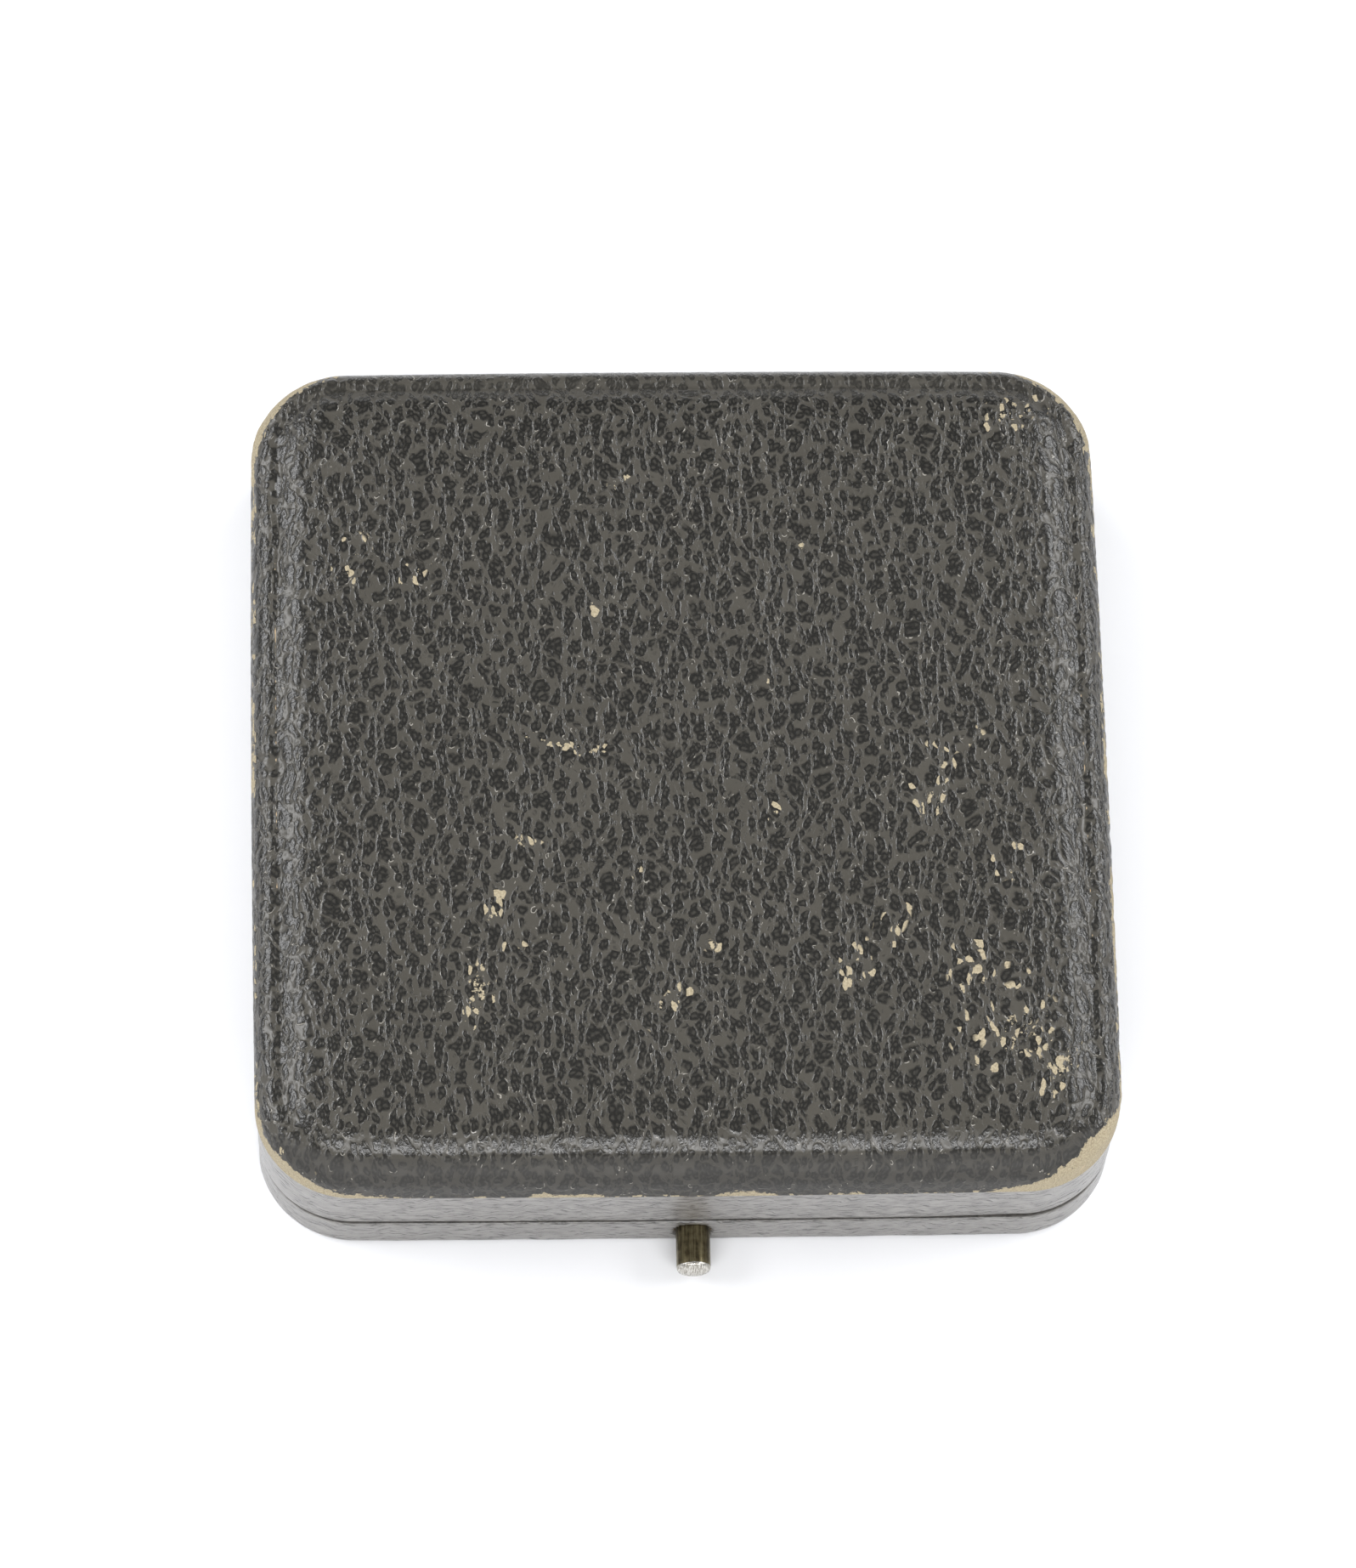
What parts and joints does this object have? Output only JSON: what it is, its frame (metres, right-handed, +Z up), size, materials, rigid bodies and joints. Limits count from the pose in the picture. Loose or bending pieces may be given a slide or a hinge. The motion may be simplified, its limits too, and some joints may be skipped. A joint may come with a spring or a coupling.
{
  "type": "jewelry gift box",
  "caption": "Low square leatherette-covered jewellery gift case with rounded corners, a padded lid hinged at the back and a push-button catch at the front.",
  "frame": {"origin": "middle of the footprint on the surface that the case stands on, lid closed", "axes": "+Z up, -Y towards the push button at the front, +Y towards the hinges, +X to the right seen from the front"},
  "size_m": [0.09, 0.0993, 0.0198],
  "materials": {
    "leatherette": "pebbled grain, semi-gloss tops on matte grey-brown valleys, worn pale at the edges",
    "paper_leather": "fine grain, matte",
    "timber": "raw softwood, hidden by the covering",
    "greyboard": "matte",
    "velvet": "short pile velvet",
    "satin": "ivory satin",
    "wadding": "soft wadding, hidden",
    "old_brass": "tarnished, rubbed bright on the button's end",
    "hinge_brass": "dull",
    "steel": "plain"
  },
  "bodies": {
    "base": {"bottom_cover": "paper_leather", "floor_board": "greyboard", "base_wall": "timber", "base_side_cover": "leatherette", "collar": "greyboard", "collar_velvet": "velvet", "pad_board": "greyboard", "jewel_pad": "velvet", "hinge_base_left": "hinge_brass", "hinge_base_right": "hinge_brass", "hinge_pin_left": "steel", "hinge_pin_right": "steel", "hinge_nails_base": "hinge_brass", "button_bush": "old_brass", "catch_case": "old_brass", "catch_screws": "steel", "return_spring": "steel"},
    "lid": {"lid_wall": "timber", "lid_side_cover": "leatherette", "lid_top_board": "timber", "lid_padding": "wadding", "lid_top_cover": "leatherette", "lid_cushion_board": "greyboard", "lid_cushion": "satin", "hinge_lid_left": "hinge_brass", "hinge_lid_right": "hinge_brass", "hinge_nails_lid": "hinge_brass", "strike_plate": "old_brass", "strike_nails": "old_brass"},
    "button": {"push_button": "old_brass", "latch_hook": "old_brass", "button_collar": "steel"}
  },
  "joints": [
    {"name": "lid_hinge", "type": "hinge", "parent": "base", "child": "lid", "pos_m": [0.026, 0.04695, 0.00525], "axis": [-1, 0, 0], "range_deg": [0, 105]},
    {"name": "button_press", "type": "slide", "parent": "base", "child": "button", "axis": [0, 1, 0], "range_m": [0, 0.0012], "stiffness_N_per_m": 400, "springref_m": -0.001, "deforming": ["return_spring"]}
  ]
}
